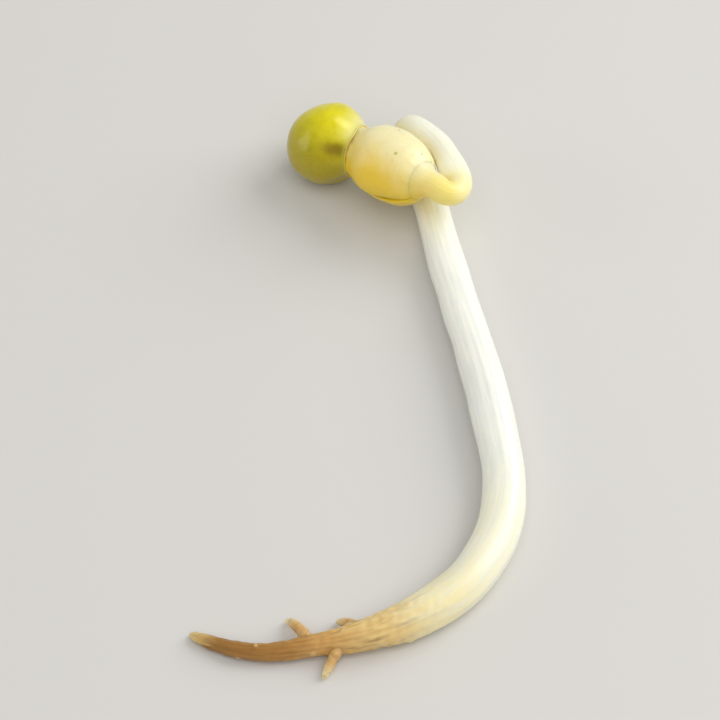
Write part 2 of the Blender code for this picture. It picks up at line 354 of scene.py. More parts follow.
# %% Curve through the marks
NODE_RADIUS = 0.66
NODE_GAP = 0.3
NODE_DEPTH = 0.8
ROUTE_STEP = 0.5
FINE_STEP = 0.05
EASING = 0.2
HUG = np.array([-0.12, -0.15, 0.0])
HUG_AT = 10.3
HUG_WIDTH = 2.2


def smooth_route(marks, step):
    """Catmull-Rom curve through rows of x, y, z, radius.

    Between b and c, with a before and d after, at share t: half of 2b + (c - a)t + (2a - 5b + 4c - d)t^2 +
    (3b - a - 3c + d)t^3.
    """
    marks = np.array(marks)
    padded = np.concatenate([marks[:1], marks, marks[-1:]])
    spans = []
    for a, b, c, d in zip(padded, padded[1:], padded[2:], padded[3:]):
        steps = max(1, math.ceil(np.linalg.norm(c[:3] - b[:3]) / step))
        t = (np.arange(steps) / steps)[:, None]
        squares = 2 * a - 5 * b + 4 * c - d
        cubes = 3 * b - a - 3 * c + d
        spans.append(b + 0.5 * ((c - a) * t + squares * t**2 + cubes * t**3))
    return np.concatenate([*spans, marks[-1:]])


def lengths_along(route):
    """Distance from the first point of a route to each of its points."""
    steps = np.linalg.norm(np.diff(route[:, :3], axis=0), axis=1)
    return np.concatenate([[0.0], np.cumsum(steps)])


def eased(route, reach):
    """Each point becomes the mean of its neighbours, weighted by a bell of their number away, so that no bend
    is tighter than the tube; the ends are mirrored, which keeps them in place."""
    count = round(3 * reach / FINE_STEP)
    weights = bell(np.arange(-count, count + 1) * FINE_STEP, reach)
    weights /= weights.sum()
    padded = np.pad(route, ((count, count), (0, 0)), mode="reflect", reflect_type="odd")
    return np.stack([np.convolve(column, weights, mode="valid") for column in padded.T], axis=-1)


def stem_marks():
    """All marks; those that lie on the surface are as high as their radius, less the share that sinks in."""
    lying = [(x, y, radius * (1 - STEM_SINK), radius) for x, y, radius in LYING_MARKS]
    node = (*(HEAD_BASE - HEAD_AXES[0] * NODE_GAP), NODE_RADIUS)
    return [*lying, *NECK_MARKS, node]


coarse_route = smooth_route(stem_marks(), ROUTE_STEP)
inside_leaves = (*(HEAD_BASE + HEAD_AXES[0] * NODE_DEPTH), NODE_RADIUS)
fine_route = eased(smooth_route([*stem_marks(), inside_leaves], FINE_STEP), EASING)
NECK_START = lengths_along(smooth_route(stem_marks()[:len(LYING_MARKS)], FINE_STEP))[-1]
hug = bell(lengths_along(fine_route) - NECK_START - HUG_AT, HUG_WIDTH)
fine_route[:, :3] += hug[:, None] * HUG
fine_along = lengths_along(fine_route)
STEM_LENGTH = fine_along[-1]
print(f"the stem is {STEM_LENGTH:.1f} mm long, {STEM_LENGTH - NECK_START:.1f} mm of it in the neck's curl")

# %% [markdown]
# ## The stem's skin
#
# A sprout's stem isn't a perfect tube. It swells and narrows a little, it is faintly four-sided, fine ridges
# run along it, and the root is wrinkled, with the first bumps of side roots breaking through. The neck is
# plumper in its curl, folds inside the last bend and thickens where it carries the seed leaves. All of that
# is added to the radius, ring by ring. The surface it lies on presses its underside flat.

# %% Fineness and relief of the stem
STEM_SIDES = 80
STEM_RING_STEP = 0.075
TIP_ROUNDING = 0.4
TIP_RINGS = 10
LYING_FADE = 4.0

# Unevenness: its height as a share of the radius, its size in millimetres and its seed
SWELLING = (0.016, 7.0, 11)
RIDGES = (0.008, 0.55, 12)
DIMPLES = (0.01, 2.4, 13)
WRINKLES = (0.03, 0.5, 14)
FURROWS = (0.035, 0.7, 15)
SQUARENESS = 0.02
SQUARE_TWIST = 0.08

# How tightly ridges and furrows are packed round the stem, and how slowly they change along it
RIDGES_ROUND = 2.2
RIDGES_ALONG = 0.05
FURROWS_ALONG = 0.3

# The root: where it ends, and the bumps of side roots to come
ROOT_ENDS = 9.0
ROOT_FADE = 5.0
ROOT_BUMPS = 11
ROOT_BUMPS_SEED = 16
ROOT_BUMPS_FROM = 2.2
ROOT_BUMPS_RUN = 10.5
ROOT_BUMP_HEIGHT = 0.07
ROOT_BUMP_WIDTH = 0.16

# The curl: its plumpness, the fold inside its last bend, and the flare where it carries the seed leaves
CURL_PLUMPNESS = 0.07
CURL_PLUMP_FROM = 3.0
CURL_PLUMP_FADE = 2.0
CURL_FOLD = 0.26
CURL_FOLD_AT = 11.0
CURL_FOLD_WIDTH = 0.8
CURL_INSIDE = (-0.98, -0.2, 0.0)
FLARE = 0.55
FLARE_REACH = 0.6
FLARE_STOP = 0.2
FLARE_FADE = 0.5


def uneven(points, height, size, seed):
    """Lumps of this height."""
    return height * lumps(points, size, seed)


def ring_places():
    """Distances along the stem: evenly spaced, and closer together as they near either rounded end."""
    turn = np.linspace(0, np.pi / 2, TIP_RINGS)
    start = TIP_ROUNDING * (1 - np.cos(turn))
    middle = np.arange(TIP_ROUNDING, STEM_LENGTH - TIP_ROUNDING, STEM_RING_STEP)[1:]
    return np.concatenate([start, middle, STEM_LENGTH - start[::-1]])


def carried_axes(centres):
    """Two axes across the path at each point, carried along it without twisting: each is the one before,
    less its part along the new direction."""
    onward = np.gradient(centres, axis=0)
    onward /= np.linalg.norm(onward, axis=1, keepdims=True)
    side = np.cross(onward[0], (0.0, 0.0, 1.0))
    sides = []
    for direction in onward:
        side = side - direction * side.dot(direction)
        side = side / np.linalg.norm(side)
        sides.append(side)
    sides = np.array(sides)
    return sides, np.cross(sides, onward)


def rounded_ends(along, length, start, end):
    """1 along the middle, falling to 0 at both ends as a circle's edge does."""
    first = np.clip(along / start, 0, 1)
    last = np.clip((length - along) / end, 0, 1)
    return np.sqrt(1 - (1 - first) ** 2) * np.sqrt(1 - (1 - last) ** 2)


def turned_from(around, place):
    """The angle from place to around, the short way."""
    return np.arctan2(np.sin(around - place), np.cos(around - place))


def root_bumps(along, around, radii):
    """Small round bumps where side roots are about to break through, each a bell both ways, set one after
    the other along the root and a quarter turn apart."""
    draw = np.random.default_rng(ROOT_BUMPS_SEED)
    total = np.zeros((len(along), len(around)))
    for number in range(ROOT_BUMPS):
        place = ROOT_BUMPS_FROM + ROOT_BUMPS_RUN * (number + draw.uniform(0.1, 0.9)) / ROOT_BUMPS
        turn = np.pi * (number % 4) / 2 + draw.uniform(-0.5, 0.5)
        width = ROOT_BUMP_WIDTH * draw.uniform(0.7, 1.3)
        apart = turned_from(around, turn) * np.interp(place, along, radii)
        total += bell(along[:, None] - place, width) * bell(apart, width)
    return total


# %% Work out the rings
def stem_surface():
    """Centre line plus radius times (1 + swelling + four-sidedness + ridges), with wrinkles and bumps on the
    root, a fold inside the curl's last bend, and at the neck's end a flare that grows by the square of the
    distance; what would lie below the surface is raised to it."""
    along = ring_places()
    route = np.stack([np.interp(along, fine_along, fine_route[:, column]) for column in range(4)], axis=-1)
    side, up = carried_axes(route[:, :3])
    around = np.linspace(0, 2 * np.pi, STEM_SIDES, endpoint=False)
    outward = np.cos(around)[:, None] * side[:, None] + np.sin(around)[:, None] * up[:, None]
    base = route[:, None, :3] + route[:, None, 3:] * outward
    root = 1 - smoothstep((along - ROOT_ENDS) / ROOT_FADE)[:, None]
    into_neck = along - NECK_START
    swelling = uneven(np.stack([along, 0 * along, 0 * along], axis=-1), *SWELLING)
    swelling += CURL_PLUMPNESS * smoothstep((into_neck - CURL_PLUMP_FROM) / CURL_PLUMP_FADE)
    lying = 1 - smoothstep(into_neck / LYING_FADE)[:, None]
    squared = SQUARENESS * np.cos(4 * around + SQUARE_TWIST * along[:, None]) * lying
    packed = (RIDGES_ROUND * np.cos(around), RIDGES_ROUND * np.sin(around), along[:, None])
    packed = np.stack(np.broadcast_arrays(*packed), axis=-1)
    ridges = uneven(packed * (1, 1, RIDGES_ALONG), *RIDGES) + uneven(base, *DIMPLES)
    wrinkles = root * (uneven(base, *WRINKLES) + uneven(packed * (1, 1, FURROWS_ALONG), *FURROWS))
    bumps = root_bumps(along, around, route[:, 3])
    relief = 1 + swelling[:, None] + squared + ridges + wrinkles
    past_node = along - STEM_LENGTH + NODE_DEPTH
    flare = FLARE * np.maximum(past_node + FLARE_REACH, 0) ** 2
    flare *= 1 - smoothstep((past_node - FLARE_STOP) / FLARE_FADE)
    fold = CURL_FOLD * bell(into_neck - CURL_FOLD_AT, CURL_FOLD_WIDTH)
    folded = fold[:, None] * np.clip(outward @ np.array(CURL_INSIDE), 0, 1) ** 2
    radius = route[:, None, 3] * relief + ROOT_BUMP_HEIGHT * bumps + flare[:, None] + folded
    radius = radius * rounded_ends(along, STEM_LENGTH, TIP_ROUNDING, TIP_ROUNDING)[:, None]
    points = route[:, None, :3] + radius[..., None] * outward
    points[..., 2] = np.maximum(points[..., 2], 0.0)
    length = np.broadcast_to(along[:, None], radius.shape)
    grain = np.stack(np.broadcast_arrays(
        route[:, None, 3] * np.cos(around), route[:, None, 3] * np.sin(around), length), axis=-1)
    return points, length, grain, bumps


stem_points, stem_along, stem_grain, stem_bumps = stem_surface()

# %% [markdown]
# ## Side roots
#
# Three short side roots have broken through the upper root. They are small tapered tubes that start inside
# it. Where they stand follows the same rule as the solid's, with the same seed, so that each one covers its
# solid. They are lumpy and thin towards their round tips.

# %% Rule for the side roots
SIDE_ROOTS = 3
SIDE_ROOT_SEED = 7
SIDE_ROOT_TAPER = ((0.0, 0.33), (0.4, 0.29), (0.75, 0.23), (1.0, 0.11))
SIDE_ROOT_BEND = 0.5
SIDE_ROOT_RISE = (0.1, 0.4)
SIDE_ROOT_LEAN = (0.2, 0.6)
SIDE_ROOT_REACH = (0.8, 1.7)
UPPER_ROOT_RADIUS = (0.5, 0.85)


def side_root_marks():
    """Marks from inside the upper root outwards, bending down and towards the root's tip by the square of
    the share of the length."""
    draw = random.Random(SIDE_ROOT_SEED)
    thinnest, thickest = UPPER_ROOT_RADIUS
    root = range(len(coarse_route) // 2)
    thin = [index for index in root if thinnest < coarse_route[index][3] < thickest]
    every = []
    for number in range(SIDE_ROOTS):
        place = thin[int((number + 0.5) * len(thin) / SIDE_ROOTS)]
        here = Vector(coarse_route[place][:3])
        onward = (Vector(coarse_route[place + 1][:3]) - here).normalized()
        side = onward.cross(Vector((0, 0, 1))) * (1 if number % 2 else -1)
        rise = Vector((0, 0, draw.uniform(*SIDE_ROOT_RISE)))
        lean = side + rise - onward * draw.uniform(*SIDE_ROOT_LEAN)
        lean.normalize()
        length = coarse_route[place][3] + draw.uniform(*SIDE_ROOT_REACH)
        marks = []
        for share, radius in SIDE_ROOT_TAPER:
            spot = here + lean * length * share - onward * SIDE_ROOT_BEND * share**2
            spot.z -= (spot.z - radius) * share**2
            marks.append((*spot, radius))
        every.append(marks)
    return every


# %% One side root as a tapered tube
SIDE_ROOT_SIDES = 32
SIDE_ROOT_STEP = 0.03
SIDE_ROOT_START = 0.05
SIDE_ROOT_TIP = 0.2
SIDE_ROOT_LUMPS = ((0.05, 0.6), (0.03, 0.22))


def side_root_surface(marks, seed):
    """A tube along the marks with lumps and a rounded tip."""
    route = smooth_route(marks, SIDE_ROOT_STEP)
    along = lengths_along(route)
    side, up = carried_axes(route[:, :3])
    around = np.linspace(0, 2 * np.pi, SIDE_ROOT_SIDES, endpoint=False)
    outward = np.cos(around)[:, None] * side[:, None] + np.sin(around)[:, None] * up[:, None]
    base = route[:, None, :3] + route[:, None, 3:] * outward
    relief = 1 + sum(uneven(base, *kind, seed + number) for number, kind in enumerate(SIDE_ROOT_LUMPS))
    ends = rounded_ends(along, along[-1], SIDE_ROOT_START, SIDE_ROOT_TIP)
    radius = route[:, None, 3] * relief * ends[:, None]
    points = route[:, None, :3] + radius[..., None] * outward
    points[..., 2] = np.maximum(points[..., 2], 0.0)
    share = np.broadcast_to((along / along[-1])[:, None], radius.shape)
    return points, share


side_roots = [side_root_surface(marks, 40 + 2 * number) for number, marks in enumerate(side_root_marks())]

# %% [markdown]
# ## Where the sprout stands
#
# The marks are in the sprout's own millimetres, and the solids were centred over the origin afterwards. The
# shift between the two is read from the frame: the middle of the solid stem's box, less the middle of the
# stem's with its side roots worked out here. Both stand on the same surface, so nothing is shifted upwards.

# %% Shift from the sprout's own millimetres to the frame
stem_low, stem_high = (np.array(corner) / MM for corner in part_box("stem"))
skins = [stem_points, *(points for points, share in side_roots)]
grown = np.concatenate([points.reshape(-1, 3) for points in skins])
own_low = grown.min(axis=0)
own_high = grown.max(axis=0)
PLACE = ((stem_low + stem_high) - (own_low + own_high)) / 2 * (1, 1, 0)
print("shift in mm:", PLACE.round(3))
print("difference in size in mm:", ((own_high - own_low) - (stem_high - stem_low)).round(3))

# %% [markdown]
# ## Colour of the stem
#
# On the real plant the colour is a record of age. The root is the oldest end and has browned, above it the
# tissue is bruised yellow, then it is a clear white for most of its length, and where light reached the neck
# it turned cream. One ramp along the stem holds all of that. The neck's very end takes the seed leaves'
# colour, with their painted light and shade, worked out at the same places, so that one passes into the
# other. Light goes a little way into the tissue, so the shader has subsurface scattering, with its depth in
# millimetres, and a thin wet film.

# %% Stem material
TISSUE_DEPTH = 1.0 * MM

# Painted light and shade on the seed leaves: cream on the lit side, yellow on the shaded side, and the
# direction of the lit side.
LIT_CREAM = (0.95, 0.86, 0.5)
SHADED_YELLOW = (0.91, 0.63, 0.03)
PAINTED_LIGHT_DIRECTION = (0.45, 0.55, 0.7)
LEAF_LENGTH = 8.1
ROOT_GROOVES = (0.26, 0.13, 0.03)
GLASSY_STREAKS = (0.79, 0.84, 0.78)
ROOT_BUMP_TIPS = (0.74, 0.52, 0.24)

STEM_STOPS = (
    (0.0, (0.66, 0.5, 0.22)),
    (0.6, (0.58, 0.4, 0.15)),
    (1.8, (0.31, 0.15, 0.03)),
    (4.5, (0.4, 0.2, 0.045)),
    (7.0, (0.6, 0.35, 0.11)),
    (9.5, (0.78, 0.57, 0.24)),
    (12.5, (0.88, 0.79, 0.47)),
    (17.0, (0.92, 0.89, 0.7)),
    (24.0, (0.93, 0.94, 0.87)),
    (NECK_START - 3.0, (0.93, 0.94, 0.86)),
    (NECK_START + 1.0, (0.93, 0.91, 0.74)),
    (NECK_START + 4.5, (0.94, 0.89, 0.64)),
    (NECK_START + 8.0, (0.96, 0.95, 0.79)),
    (NECK_START + 11.0, (0.96, 0.93, 0.74)),
    (NECK_START + 12.4, (0.93, 0.83, 0.42)),
    (NECK_START + 13.4, (0.93, 0.77, 0.22)),
    (STEM_LENGTH, (0.92, 0.76, 0.2)),
)


def bleached(own_points, middle):
    """How far a point lies towards the lit side, from a place on the head's axis, for painted light and
    shade.
    """
    return (own_points - from_head(np.array([middle, 0.0, 0.0]))) @ np.array(PAINTED_LIGHT_DIRECTION)


def leaf_light_and_shade(finish, clouds):
    """Painted light and shade: cream on the lit side and yellow on the shaded side, with a cloudy border
    between.
    """
    shaded = 1 - finish.clamped(finish.attribute("bleached") + (clouds - 0.5) * 1.6, -0.7, 2.0)
    return finish.mix(shaded, LIT_CREAM, SHADED_YELLOW)


def stem_finish():
    finish = Finish(
        "sprout_stem",
        Subsurface_Weight=0.5,
        Subsurface_Radius=(1.0, 0.85, 0.5),
        Subsurface_Scale=TISSUE_DEPTH,
        Coat_Weight=0.35,
        Coat_Roughness=0.12,
        IOR=1.4,
    )
    grain = finish.attribute("grain", "Vector")
    along = finish.attribute("along")
    streaks = finish.noise(finish.stretched(grain, (5.0, 5.0, 0.35)), 1.0, 4.0, 0.6)
    blotches = finish.noise(finish.stretched(grain, (1.0, 1.0, 0.5)), 0.9, 3.0)
    rootness = 1 - finish.clamped(along, ROOT_ENDS, ROOT_ENDS + 6.0)
    wander = rootness * 2.4 + 1.0
    shifted = along + ((blotches - 0.5) + (streaks - 0.5) * 0.6) * wander
    stops = [(place / STEM_LENGTH, colour) for place, colour in STEM_STOPS]
    colour = finish.node("ShaderNodeValToRGB", {"stops": stops}, {0: shifted / STEM_LENGTH})
    dark = finish.clamped(streaks, 0.52, 0.72) * (rootness * 0.55 + 0.03)
    colour = finish.mix(dark, colour, ROOT_GROOVES)
    nodeward = finish.clamped(along, STEM_LENGTH - 11.0, STEM_LENGTH - 6.0)
    glassy = finish.clamped(streaks, 0.42, 0.62) * (1 - rootness) * (1 - nodeward) * 0.5
    colour = finish.mix(glassy, colour, GLASSY_STREAKS)
    clouds = finish.noise(finish.attribute("head", "Vector"), 0.55, 3.0)
    # Painted light and shade: the neck's end takes the seed leaves' lit cream and shaded yellow.
    leafward = finish.clamped(along + (streaks - 0.5) * 1.5, STEM_LENGTH - 2.4, STEM_LENGTH - 0.9)
    colour = finish.mix(leafward, colour, leaf_light_and_shade(finish, clouds))
    bumps = finish.attribute("bumps")
    colour = finish.mix(finish.clamped(bumps, 0.3, 0.9) * 0.6, colour, ROOT_BUMP_TIPS)
    skin_cells = finish.cells(finish.stretched(grain, (22.0, 22.0, 4.5)), 1.0)
    height = streaks * (0.5 + rootness) + skin_cells * 0.16 + blotches * 0.3
    roughness = 0.27 + streaks * 0.16 + rootness * 0.18
    return finish.surface(colour, roughness, height, 0.035)


stem_mesh = closed_skin(
    "stem_skin",
    stem_points + PLACE,
    along=stem_along,
    grain=stem_grain,
    bumps=stem_bumps,
    head=to_head(stem_points),
    bleached=bleached(stem_points, LEAF_LENGTH / 2),
)
add_piece(stem_mesh, stem_finish(), "stem", "stem")


# %% Side root material
SIDE_ROOT_BASE = (0.6, 0.38, 0.14)
SIDE_ROOT_PALE_TIP = (0.84, 0.72, 0.42)
SIDE_ROOT_MOTTLE = (0.36, 0.19, 0.05)


def side_root_finish():
    finish = Finish(
        "side_root",
        Subsurface_Weight=0.4,
        Subsurface_Radius=(1.0, 0.7, 0.35),
        Subsurface_Scale=0.5 * MM,
    )
    place = finish.stretched(finish.node("ShaderNodeTexCoord", output="Object"), (1 / MM,) * 3)
    share = finish.attribute("share")
    mottle = finish.noise(place, 4.0, 3.0)
    colour = finish.mix(finish.clamped(share, 0.55, 0.95), SIDE_ROOT_BASE, SIDE_ROOT_PALE_TIP)
    colour = finish.mix(finish.clamped(mottle, 0.45, 0.75) * 0.45, colour, SIDE_ROOT_MOTTLE)
    return finish.surface(colour, 0.4 + mottle * 0.15, mottle, 0.04)


side_root_material = side_root_finish()
for number, (points, share) in enumerate(side_roots):
    mesh = closed_skin(f"side_root_{number + 1}", points + PLACE, share=share)
    add_piece(mesh, side_root_material, "stem", "stem")

# %% [markdown]
# ## The seed leaves
#
# The two halves of the bean are fat and smooth, round outside and nearly flat inside, with a hollow round the
# first leaves. In life they press together, and the slit is a fine line that opens to a narrow lens over the
# hollow. A half is a sphere's grid bent by a formula: a ring's place along the bean sets its radius, and the
# angle round the ring sets how far it lies from the slit.

# %% Sizes of the seed leaves
LEAF_RADIUS = 2.18
LEAF_TAPER = 0.22
LEAF_FULLNESS = 0.64
WAIST_AT = 4.75
WAIST_WIDTH = 1.1
WAIST_DEPTH = 0.24
BEAN_BEND = 0.28
LOBE_CENTRE = 0.08
LIP_ROUNDNESS = 0.34
SLIT_HALF = 0.01
THINNEST_LEAF = 0.4
HOLLOW_DEPTH = 0.5
HOLLOW_AT = 2.5
HOLLOW_HALF_LENGTH = 1.1
HOLLOW_HALF_WIDTH = 1.0
HOLLOW_ACROSS = 0.6
LEAF_RINGS = 190
LEAF_SIDES = 220
POLE_CROWDING = 0.13

# Unevenness: its height in millimetres and its size; the wrinkles show only where the flesh is pressed
LEAF_WAVES = (0.028, 2.8)
LEAF_DIMPLES = (0.007, 0.9)
LEAF_WRINKLES = (0.007, 0.4)
PRESSED_WIDTHS = (0.8, 0.9)
PRESSED_BY_RIM = 0.3


def bean_bend(s):
    """The bean's middle line bows away from the slit's open edge by a parabola over its length."""
    return -BEAN_BEND * (1 - (2 * s / LEAF_LENGTH - 1) ** 2)


def leaf_radius(s):
    """(4 share (1 - share)) to the power of half the fullness, times 1 less a bell-like waist and a taper."""
    share = np.clip(s / LEAF_LENGTH, 0, 1)
    narrowing = WAIST_DEPTH * bell(s - WAIST_AT, WAIST_WIDTH) + LEAF_TAPER * smoothstep(share)
    return LEAF_RADIUS * (4 * share * (1 - share)) ** (LEAF_FULLNESS / 2) * (1 - narrowing)


def seed_leaf_surface(side, seed):
    """One lobe of the bean.

    s = length (1 - cos polar) / 2, with the polar angles crowded towards both poles. Round the ring,
    w = radius cos around. The outer half rises from the lobe's centre by sin around; the inner half falls
    from it to the slit, rounded at the lips.
    """
    even = np.linspace(0, 1, LEAF_RINGS)[:, None]
    polar = np.pi * (even - POLE_CROWDING * np.sin(2 * np.pi * even))
    around = np.linspace(0, 2 * np.pi, LEAF_SIDES, endpoint=False)[None, :]
    s = LEAF_LENGTH * (1 - np.cos(polar)) / 2
    radius = leaf_radius(s)
    w = radius * np.cos(around)
    turn = np.sin(around)
    hollow = HOLLOW_DEPTH * bell(s - HOLLOW_AT, HOLLOW_HALF_LENGTH)
    hollow = hollow * bell(w - HOLLOW_ACROSS, HOLLOW_HALF_WIDTH)
    inner = np.minimum(SLIT_HALF, 0.3 * radius) + np.minimum(hollow, (1 - THINNEST_LEAF) * radius)
    centre = np.maximum(LOBE_CENTRE * radius, inner)
    outside = centre + np.maximum(radius - centre, 0) * np.maximum(turn, 0)
    inside = centre - (centre - inner) * np.abs(turn) ** LIP_ROUNDNESS
    n = np.where(turn >= 0, outside, inside)
    s_all = np.broadcast_to(s, n.shape)
    place = np.stack([s_all, w + bean_bend(s_all), side * n], axis=-1)
    away = np.stack([0 * n, np.cos(around) + 0 * n, side * np.maximum(turn, 0) + 0 * n], axis=-1)
    relief = uneven(place, *LEAF_WAVES, seed) + uneven(place, *LEAF_DIMPLES, seed + 1)
    at_rim, at_neck = PRESSED_WIDTHS
    pressed = bell(s - COAT_RIM + PRESSED_BY_RIM, at_rim) + bell(s, at_neck)
    relief = relief + pressed * uneven(place * (0.25, 1, 1), *LEAF_WRINKLES, seed + 2)
    return place + away * (relief * np.minimum(radius, 1.0))[..., None]


# %% [markdown]
# ## Colour of the seed leaves
#
# They are painted cream on the lit side and yellow on the shaded side, as painted light and shade, with a
# cloudy border, and a deeper yellow is painted along the slit as shade where the lobes meet. A few tiny green
# flecks are scattered by noise and cells, and three larger ones are listed. The tissue is dense and waxy: a
# low sheen, with scattering that is warmer than the stem's.

# %% Seed leaf material
# Painted shade along the slit.
SLIT_SHADE_YELLOW = (0.86, 0.57, 0.015)
LEAF_MOTTLE = (0.72, 0.5, 0.08)
FLECK_GREEN = (0.42, 0.4, 0.03)
FLECKS = (
    (1.34, 96, 0.14),
    (2.33, 141, 0.11),
    (1.1, 152, 0.08),
)


def fleck_mask(finish, place):
    """1 in small balls round spots on the skin, each given by its s, its degrees round and its radius."""
    mask = 0.0
    for s, degrees, size in FLECKS:
        turn = math.radians(degrees)
        radius = float(leaf_radius(s))
        spot = (s, radius * math.cos(turn) + bean_bend(s), radius * math.sin(turn))
        away = finish.node("ShaderNodeVectorMath", {"operation": "DISTANCE"}, {0: place, 1: spot}, "Value")
        mask = mask + (1 - finish.clamped(away, size * 0.3, size))
    return mask


def seed_leaf_finish():
    finish = Finish(
        "seed_leaf",
        Subsurface_Weight=0.35,
        Subsurface_Radius=(1.0, 0.7, 0.25),
        Subsurface_Scale=0.8 * MM,
        Coat_Weight=0.4,
        Coat_Roughness=0.22,
        IOR=1.42,
    )
    place = finish.attribute("head", "Vector")
    s = finish.node("ShaderNodeSeparateXYZ", None, {0: place}, "X")
    from_slit = finish.attribute("from_slit")
    clouds = finish.noise(place, 0.55, 3.0)
    mottle = finish.noise(place, 3.2, 4.0, 0.6)
    # Painted shade: a deeper yellow along the slit, where the two lobes meet.
    slit_shade = 1 - finish.clamped(from_slit + (clouds - 0.5) * 0.7, 0.05, 0.7)
    colour = leaf_light_and_shade(finish, clouds)
    colour = finish.mix(slit_shade * finish.clamped(s, 0.2, 1.2) * 0.6, colour, SLIT_SHADE_YELLOW)
    colour = finish.mix(finish.clamped(mottle, 0.45, 0.75) * 0.16, colour, LEAF_MOTTLE)
    dots = finish.cells(place, 1.5)
    picked = finish.clamped(finish.noise(place, 1.1, 1.0), 0.56, 0.6)
    fleck = (1 - finish.clamped(dots, 0.05, 0.13)) * picked + fleck_mask(finish, place)
    colour = finish.mix(fleck * 0.75, colour, FLECK_GREEN)
    pores = finish.cells(place, 11.0)
    relief = clouds * 0.4 + mottle * 0.4 + pores * 0.12
    return finish.surface(colour, 0.32 + mottle * 0.14, relief, 0.03)


seed_leaf_material = seed_leaf_finish()
for name, side, seed in (("cotyledon_upper", 1, 21), ("cotyledon_lower", -1, 31)):
    head_points = seed_leaf_surface(side, seed)
    own_points = from_head(head_points)
    mesh = closed_skin(
        name + "_flesh",
        own_points + PLACE,
        head=head_points,
        from_slit=np.abs(head_points[..., 2]),
        bleached=bleached(own_points, LEAF_LENGTH / 2),
    )
    add_piece(mesh, seed_leaf_material, "cotyledon", name)

# %% [markdown]
# ## The first leaves
#
# Folded flat in the slit lie the first two true leaves, no bigger than a sesame seed. Each is a thin blade
# with a midrib and side veins, pointed at its tip. A lens-shaped ring carried along the blade makes a closed
# body, and the veins are raised on its outer face.

# %% Sizes and surface of one blade
BLADE_START = 1.3
BLADE_LENGTH = 2.35
BLADE_HALF_WIDTH = 0.84
BLADE_ACROSS = 0.7
BLADE_THICKNESS = 0.1
BLADE_TAPER = 0.35
BLADE_OFF_FOLD = 0.015
BLADE_WAVE = 0.02
BLADE_RINGS = 110
BLADE_SIDES = 140
ARCH_RIM = 0.6
ARCH_CROWN = 0.9
ARCH_WIDTH = 0.6
VEIN_PAIRS = 6
VEIN_SLANT = 1.1
VEIN_WIDTH = 0.12
VEIN_HEIGHT = 0.025
RIB_WIDTH = 0.1
RIB_TO_VEIN = 1.5


def blade_surface(side):
    """s runs from base to tip; half width = sin polar, less towards the tip; the outer face is a shallow arch
    with the veins' bells added, and the inner face lies just off the fold's middle plane."""
    polar = np.linspace(0, np.pi, BLADE_RINGS)[:, None]
    around = np.linspace(0, 2 * np.pi, BLADE_SIDES, endpoint=False)[None, :]
    share = (1 - np.cos(polar)) / 2
    outline = np.sin(polar).clip(0) * (1 - BLADE_TAPER * share)
    across = np.cos(around)
    outer = np.maximum(np.sin(around), 0)
    rib = bell(across, RIB_WIDTH)
    branch = share * VEIN_PAIRS - np.abs(across) * VEIN_SLANT
    veins = bell(branch - np.round(branch), VEIN_WIDTH) * (1 - rib)
    arch = BLADE_THICKNESS * (ARCH_RIM + ARCH_CROWN * bell(across, ARCH_WIDTH)) * np.sqrt(outline)
    n = BLADE_OFF_FOLD + outer * (arch + VEIN_HEIGHT * outline * (veins + RIB_TO_VEIN * rib))
    wave = BLADE_WAVE * np.sin(3 * share * np.pi) * outline
    s = BLADE_START + BLADE_LENGTH * share + 0 * across
    w = BLADE_ACROSS + BLADE_HALF_WIDTH * outline * across
    points = np.stack([s, w + bean_bend(s), side * n + wave], axis=-1)
    vein = np.broadcast_to(np.maximum(veins, rib), n.shape)
    return points, vein


# %% First leaf material
BLADE_GREEN = (0.62, 0.57, 0.06)
BLADE_YELLOW = (0.74, 0.66, 0.15)
VEIN_CREAM = (0.84, 0.78, 0.34)


def blade_finish():
    finish = Finish(
        "first_leaf",
        Subsurface_Weight=0.25,
        Subsurface_Radius=(0.8, 1.0, 0.2),
        Subsurface_Scale=0.3 * MM,
    )
    place = finish.attribute("head", "Vector")
    vein = finish.attribute("vein")
    mottle = finish.noise(place, 5.0, 3.0)
    colour = finish.mix(mottle, BLADE_GREEN, BLADE_YELLOW)
    colour = finish.mix(vein * 0.7, colour, VEIN_CREAM)
    return finish.surface(colour, 0.4 + mottle * 0.12, mottle, 0.015)


blade_material = blade_finish()
for name, side in (("first_leaf_upper", 1), ("first_leaf_lower", -1)):
    head_points, vein = blade_surface(side)
    mesh = closed_skin(name, from_head(head_points) + PLACE, head=head_points, vein=vein)
    add_piece(mesh, blade_material, "plumule", "plumule")

# %% [markdown]
# ## The seed coat
#
# The green skin of the bean still covers the seed leaves' free ends, like a cap. It is hardly a tenth of a
# millimetre thick, glossy, torn round its mouth and drawn in there against the flesh. The grid runs from the
# round end over the outside to the torn rim and back along the inside, so the skin's edge and its pale lining
# come out as one closed body. The scar where the bean hung in its pod, a cream oval with a fine groove, is
# raised from the same grid.

# %% Sizes of the coat
COAT_RADIUS = 2.3
COAT_HALF_LENGTH = 2.35
COAT_FULLNESS = 0.75
COAT_SKIN = 0.11
MOUTH_GAP = -0.01
MOUTH_FROM = 0.62
SPLIT_DEPTH = 0.35
SPLIT_HALF_ANGLE = 0.26
SPLIT_AT = -0.5
LIP_CURL = 0.03
LIP_FROM = 0.94
RIM_WAVES = ((1, 0.35, -2.3), (2, 0.06, 0.6), (5, 0.04, 2.0))
COAT_RINGS = 150
COAT_SIDES = 260
SCAR_AT = 6.3
SCAR_AROUND = math.radians(187)
SCAR_HALF_LENGTH = 0.62
SCAR_HALF_WIDTH = 0.24
SCAR_HEIGHT = 0.05
SCAR_FLAT = 0.7
SCAR_EDGE = 0.5
GROOVE_WIDTH = 0.16
GROOVE_DEPTH = 0.04
DENT_AT = 5.25
DENT_AROUND = math.radians(61)
DENT_DEPTH = 0.07
